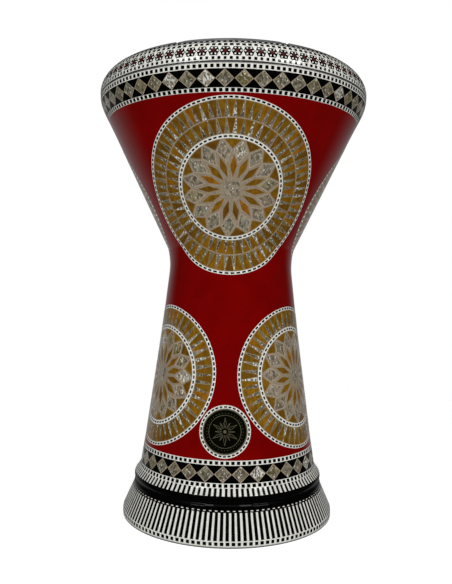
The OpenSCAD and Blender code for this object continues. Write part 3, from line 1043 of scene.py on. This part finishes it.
def pale_floor():
    """A pale floor that melts into the white sweep and stays out of reflections."""
    mesh = bpy.data.meshes.new("floor")
    half = FLOOR_HALF
    corners = [(-half, -half, 0), (half, -half, 0), (half, half, 0), (-half, half, 0)]
    mesh.from_pydata(corners, [], [(0, 1, 2, 3)])
    made = Shader("floor_paint")
    mottle = made.ramp(made.noise(400, 3), [(0.3, (0.80, 0.80, 0.80)), (0.7, (0.82, 0.82, 0.82))])
    path = made.node("ShaderNodeLightPath")
    extra = made.maths("MULTIPLY", path.outputs["Is Camera Ray"], FLOOR_SEEN - FLOOR_BOUNCE)
    glow = made.maths("ADD", extra, FLOOR_BOUNCE)
    made.look(Base_Color=mottle, Roughness=0.9, Emission_Color=(1, 1, 1, 1), Emission_Strength=glow)
    away = made.node("ShaderNodeVectorMath", {0: made.place()}, operation="LENGTH").outputs["Value"]
    melt = made.node("ShaderNodeMapRange", {
        "Value": away, "From Min": MELT_NEAR, "From Max": MELT_FAR, "To Min": 0.0, "To Max": 1.0,
    }).outputs[0]
    hidden = made.maths("MAXIMUM", path.outputs["Is Glossy Ray"], melt)
    see_through = made.node("ShaderNodeBsdfTransparent")
    mixed = made.node("ShaderNodeMixShader", {"Fac": hidden})
    made.tree.links.new(made.surface.outputs[0], mixed.inputs[1])
    made.tree.links.new(see_through.outputs[0], mixed.inputs[2])
    made.tree.links.new(mixed.outputs[0], made.tree.nodes["Material Output"].inputs["Surface"])
    mesh.materials.append(made.material)
    floor = bpy.data.objects.new("floor", mesh)
    floor.location.z = -0.2 * MM
    bpy.context.scene.collection.objects.link(floor)


def graded(tree, direction, towards, near, far):
    """A level that changes with how far a direction points towards a vector.
    near and far are each (how far it points, level)."""
    lean = tree.nodes.new("ShaderNodeVectorMath")
    lean.operation = "DOT_PRODUCT"
    tree.links.new(direction, lean.inputs[0])
    lean.inputs[1].default_value = towards
    level = tree.nodes.new("ShaderNodeMapRange")
    level.interpolation_type = "SMOOTHSTEP"
    tree.links.new(lean.outputs["Value"], level.inputs["Value"])
    level.inputs["From Min"].default_value, level.inputs["To Min"].default_value = near
    level.inputs["From Max"].default_value, level.inputs["To Max"].default_value = far
    return level.outputs[0]


def reflected(tree, direction):
    """The studio as the gloss shows it: a dim room with a pale ceiling and a white sweep behind."""
    behind = graded(tree, direction, (-0.1, 1.0, -0.45), (0.40, 0.02), (0.98, 0.30))
    ceiling = graded(tree, direction, (0, 0, 1), (0.6, 0.0), (0.97, 0.26))
    brighter = tree.nodes.new("ShaderNodeMath")
    brighter.operation = "MAXIMUM"
    tree.links.new(behind, brighter.inputs[0])
    tree.links.new(ceiling, brighter.inputs[1])
    return brighter.outputs[0]


def choose(tree, test, when_false, when_true):
    """One of two levels, each a number or an output, by a test that is 0 or 1."""
    made = tree.nodes.new("ShaderNodeMix")
    tree.links.new(test, made.inputs[0])
    for socket, value in ((made.inputs[2], when_false), (made.inputs[3], when_true)):
        if isinstance(value, float):
            socket.default_value = value
        else:
            tree.links.new(value, socket)
    return made.outputs[0]


def sky():
    """White to the camera, a soft glow mostly from the front as light, and a studio in reflections."""
    world = bpy.data.worlds.new("studio")
    bpy.context.scene.world = world
    world.use_nodes = True
    tree = world.node_tree
    back = tree.nodes["Background"]
    back.inputs["Color"].default_value = (1, 1, 1, 1)
    direction = tree.nodes.new("ShaderNodeTexCoord").outputs["Generated"]
    path = tree.nodes.new("ShaderNodeLightPath")
    glow = graded(tree, direction, (0, 1, 0), (-1.0, 0.54), (0.7, 0.17))
    level = choose(tree, path.outputs["Is Glossy Ray"], glow, reflected(tree, direction))
    level = choose(tree, path.outputs["Is Camera Ray"], level, 1.0)
    tree.links.new(level, back.inputs["Strength"])
    world.cycles.sampling_method = "NONE"


def softbox(name, azimuth, distance, height, wide, tall, power, target_z, mirrored):
    """A rectangular lamp that faces the drum's axis at target_z; azimuth 0 is in front of the drum.
    mirrored says whether the lamp shows in reflections."""
    lamp = bpy.data.lights.new(name, "AREA")
    lamp.shape = "RECTANGLE"
    lamp.size = wide
    lamp.size_y = tall
    lamp.energy = power
    made = bpy.data.objects.new(name, lamp)
    a = azimuth * DEG
    place = np.array([distance * math.sin(a), -distance * math.cos(a), height])
    made.location = place
    made.rotation_euler = Vector((0, 0, target_z) - place).to_track_quat("-Z", "Y").to_euler()
    made.visible_glossy = mirrored
    bpy.context.scene.collection.objects.link(made)


# The camera's place in drum heights, its turn to the right, its roll in radians, and its lens.
CAMERA_DISTANCE = 1.5147
CAMERA_HEIGHT = 0.5226
CAMERA_TURN = 0.9 * DEG
CAMERA_ROLL = 0.0165
LENS_MM = 39.9
SHIFT_X = -0.0075
SHIFT_Y = -0.0140


def camera():
    """Looks at the drum from the front, a little above its middle, from one and a half heights away."""
    height = span("tension_ring")[1]
    lens = bpy.data.cameras.new("camera")
    lens.sensor_fit = "VERTICAL"
    lens.sensor_height = 36
    lens.lens = LENS_MM
    lens.shift_x = SHIFT_X
    lens.shift_y = SHIFT_Y
    lens.clip_start = 0.05
    made = bpy.data.objects.new("camera", lens)
    distance = CAMERA_DISTANCE * height
    across, back = distance * math.sin(CAMERA_TURN), distance * math.cos(CAMERA_TURN)
    made.location = (across, -back, CAMERA_HEIGHT * height)
    level = Euler((math.pi / 2, 0, CAMERA_TURN)).to_matrix()
    made.rotation_euler = (level @ Matrix.Rotation(CAMERA_ROLL, 3, "Z")).to_euler()
    bpy.context.scene.collection.objects.link(made)
    bpy.context.scene.camera = made


pale_floor()
sky()
softbox("fill", 5, 0.85, 0.95, 1.0, 0.6, 4.45, 0.25, False)
softbox("glint_left", -35, 1.0, 0.80, 0.34, 0.12, 1.5, 0.4, True)
softbox("glint_right", 45, 1.0, 0.80, 0.36, 0.12, 1.5, 0.4, True)
softbox("ceiling_left", -30, 0.9, 1.9, 0.25, 0.5, 0.8, 0.2, True)
softbox("ceiling_right", 34, 0.9, 1.9, 0.35, 0.5, 1.0, 0.2, True)
camera()
bpy.context.scene.view_settings.view_transform = "Standard"
